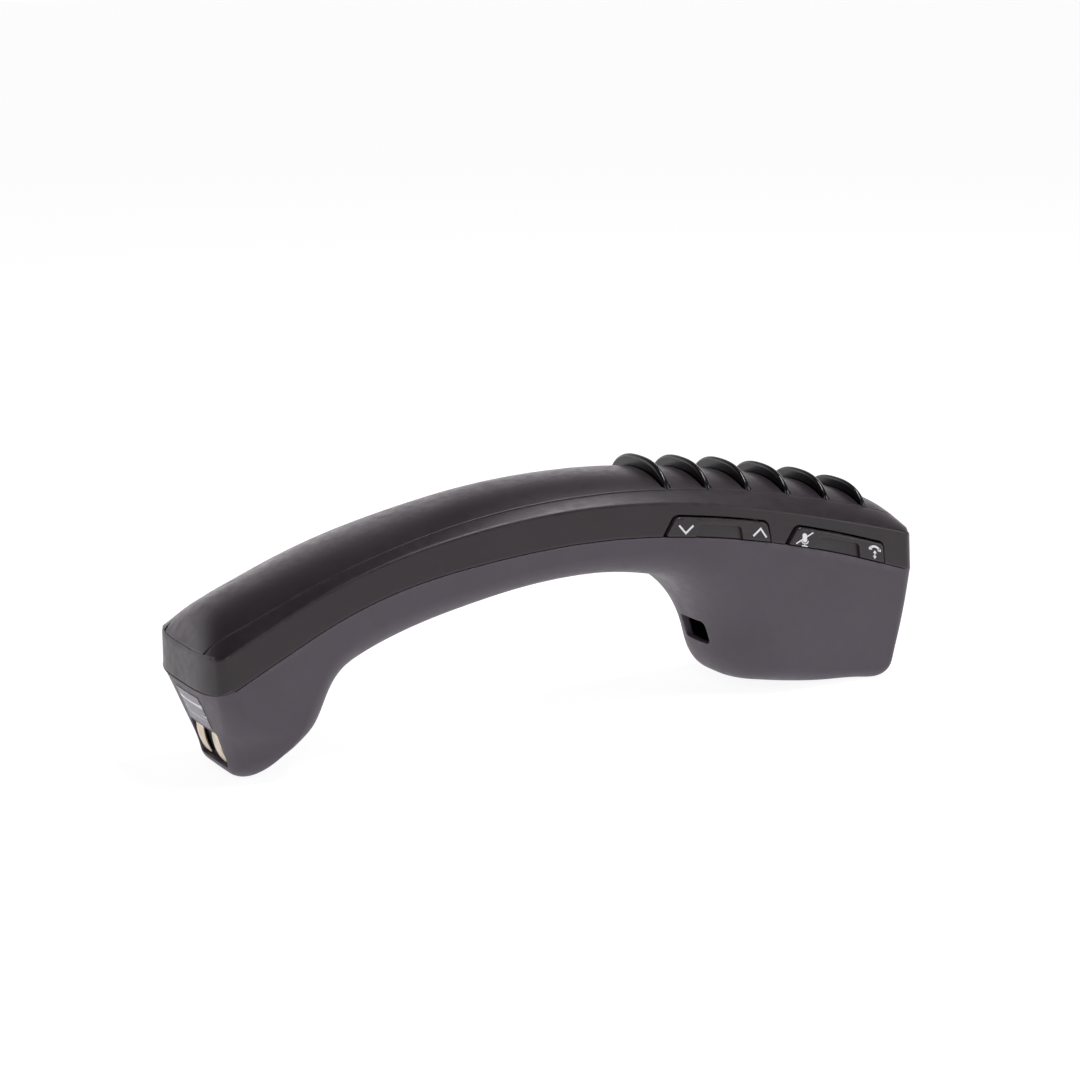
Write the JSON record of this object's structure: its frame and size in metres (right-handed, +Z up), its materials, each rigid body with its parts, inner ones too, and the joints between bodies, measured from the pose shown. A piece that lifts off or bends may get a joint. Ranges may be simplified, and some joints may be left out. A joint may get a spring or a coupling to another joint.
{
  "type": "telephone handset",
  "caption": "Curved cordless telephone handset with an earpiece cup, a mouthpiece cup, finger grip ribs on the back, two side rocker keys, a battery door and charging contacts.",
  "frame": {"origin": "on the table at mid-length, on the symmetry plane, with the handset lying on its two cups", "axes": "+X towards the earpiece end, +Y away from the key side, +Z up through the back"},
  "size_m": [0.2084, 0.0427, 0.0668],
  "materials": {
    "front_plastic": "matt moulded, fine grain",
    "back_plastic": "satin",
    "rib_plastic": "gloss",
    "key_plastic": "satin",
    "inner_plastic": "matt",
    "pale_plastic": "matt",
    "board": "solder mask",
    "steel": "satin",
    "ceramic": "matt",
    "cell": "sleeved pouch",
    "driver_metal": "satin",
    "cloth": "woven",
    "rubber": "matt",
    "contact_metal": "gold flashed",
    "label": "printed film",
    "wire": "matt"
  },
  "bodies": {
    "root": {"front_housing": "front_plastic", "rear_frame": "back_plastic", "rear_panel": "back_plastic", "rib_insert": "rib_plastic", "volume_pivot_pin": "steel", "mute_hook_pivot_pin": "steel", "key_bracket": "inner_plastic", "key_board": "board", "volume_down_switch": "pale_plastic", "volume_up_switch": "pale_plastic", "mute_switch": "pale_plastic", "hook_switch": "pale_plastic", "housing_screw_1": "steel", "housing_screw_2": "steel", "housing_screw_3": "steel", "housing_screw_4": "steel", "main_board": "board", "board_screw_1": "steel", "board_screw_2": "steel", "board_screw_3": "steel", "radio_shield": "steel", "antenna": "ceramic", "battery_pack": "cell", "battery_connector": "pale_plastic", "battery_lead": "wire", "receiver_cloth": "cloth", "receiver_gasket": "rubber", "receiver": "driver_metal", "receiver_lead": "wire", "microphone_boot": "rubber", "microphone": "driver_metal", "microphone_lead": "wire", "contact_block": "inner_plastic", "charge_contact_near": "contact_metal", "charge_contact_far": "contact_metal", "charge_lead": "wire", "end_label": "label"},
    "volume_rocker": {"volume_rocker": "key_plastic"},
    "mute_hook_rocker": {"mute_hook_rocker": "key_plastic"},
    "volume_down_plunger": {"volume_down_plunger": "inner_plastic"},
    "volume_up_plunger": {"volume_up_plunger": "inner_plastic"},
    "mute_plunger": {"mute_plunger": "inner_plastic"},
    "hook_plunger": {"hook_plunger": "inner_plastic"},
    "battery_door": {"battery_door": "front_plastic"}
  },
  "joints": [
    {"name": "volume_rocker_tilt", "type": "hinge", "parent": "root", "child": "volume_rocker", "pos_m": [0.03998, -0.01635, 0.04888], "axis": [0.164, 0, 0.9865], "range_deg": [-2, 2]},
    {"name": "mute_hook_rocker_tilt", "type": "hinge", "parent": "root", "child": "mute_hook_rocker", "pos_m": [0.07757, -0.01635, 0.04017], "axis": [0.2817, 0, 0.9595], "range_deg": [-2, 2]},
    {"name": "volume_down_plunger_travel", "type": "slide", "parent": "root", "child": "volume_down_plunger", "axis": [0, 1, 0], "range_m": [-0.00045, 0.00045]},
    {"name": "volume_up_plunger_travel", "type": "slide", "parent": "root", "child": "volume_up_plunger", "axis": [0, 1, 0], "range_m": [-0.00045, 0.00045]},
    {"name": "mute_plunger_travel", "type": "slide", "parent": "root", "child": "mute_plunger", "axis": [0, 1, 0], "range_m": [-0.00045, 0.00045]},
    {"name": "hook_plunger_travel", "type": "slide", "parent": "root", "child": "hook_plunger", "axis": [0, 1, 0], "range_m": [-0.00045, 0.00045]},
    {"name": "battery_door_swing", "type": "hinge", "parent": "root", "child": "battery_door", "pos_m": [-0.0381, 0, 0.03512], "axis": [0, 1, 0], "range_deg": [0, 35], "stiffness_Nm_per_rad": 0.01, "springref_deg": -17.19}
  ],
  "couplings": [
    {"joint": "volume_down_plunger_travel", "follows": "volume_rocker_tilt", "m_per_rad": -0.0125},
    {"joint": "volume_up_plunger_travel", "follows": "volume_rocker_tilt", "m_per_rad": 0.0125},
    {"joint": "mute_plunger_travel", "follows": "mute_hook_rocker_tilt", "m_per_rad": -0.012},
    {"joint": "hook_plunger_travel", "follows": "mute_hook_rocker_tilt", "m_per_rad": 0.012}
  ]
}
